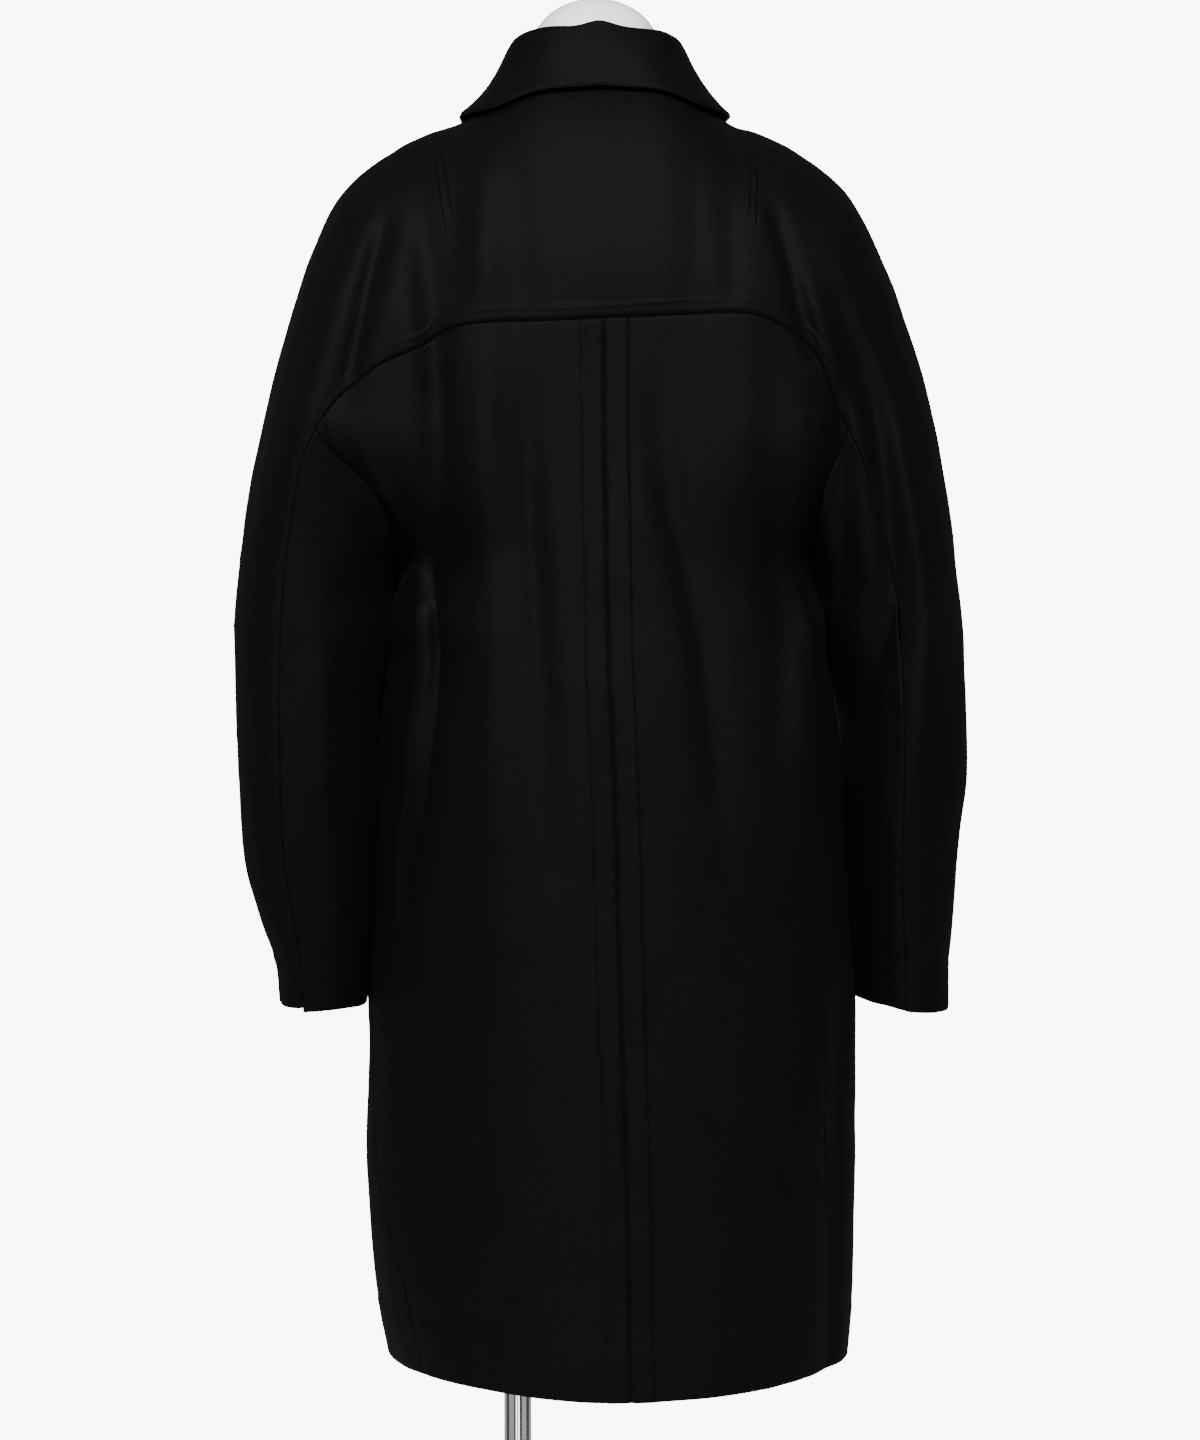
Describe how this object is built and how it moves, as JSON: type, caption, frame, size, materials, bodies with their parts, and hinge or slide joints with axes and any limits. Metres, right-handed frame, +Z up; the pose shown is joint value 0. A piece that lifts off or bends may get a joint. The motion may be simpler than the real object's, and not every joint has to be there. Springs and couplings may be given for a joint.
{
  "type": "cocoon coat on a dress form",
  "caption": "Knee-length cocoon coat in black wool with dropped shoulders, back yoke cut in one with the sleeves and a turned-down collar, on a limbless dress form with a pole and round base.",
  "frame": {"origin": "on the floor, at the middle of the base plate's underside", "axes": "+Z up along the pole; the coat's front faces -Y and the wearer's left is +X"},
  "size_m": [0.5857, 0.34, 1.495],
  "materials": {
    "black_wool": "soft melton",
    "horn_button": "satin",
    "form_shell": "satin white",
    "pole_chrome": "polished",
    "base_steel": "brushed"
  },
  "bodies": {
    "root": {"back_yoke_and_sleeves": "black_wool", "front_yoke_and_sleeve_left": "black_wool", "front_yoke_and_sleeve_right": "black_wool", "back_left": "black_wool", "back_right": "black_wool", "front_left": "black_wool", "front_right": "black_wool", "under_sleeve_left": "black_wool", "under_sleeve_right": "black_wool", "collar_stand": "black_wool", "collar": "black_wool", "button_1": "horn_button", "button_2": "horn_button", "button_3": "horn_button", "button_4": "horn_button", "dress_form": "form_shell", "base_plate": "base_steel", "pole": "pole_chrome", "pole_flange": "pole_chrome", "pole_socket": "pole_chrome"}
  },
  "joints": []
}
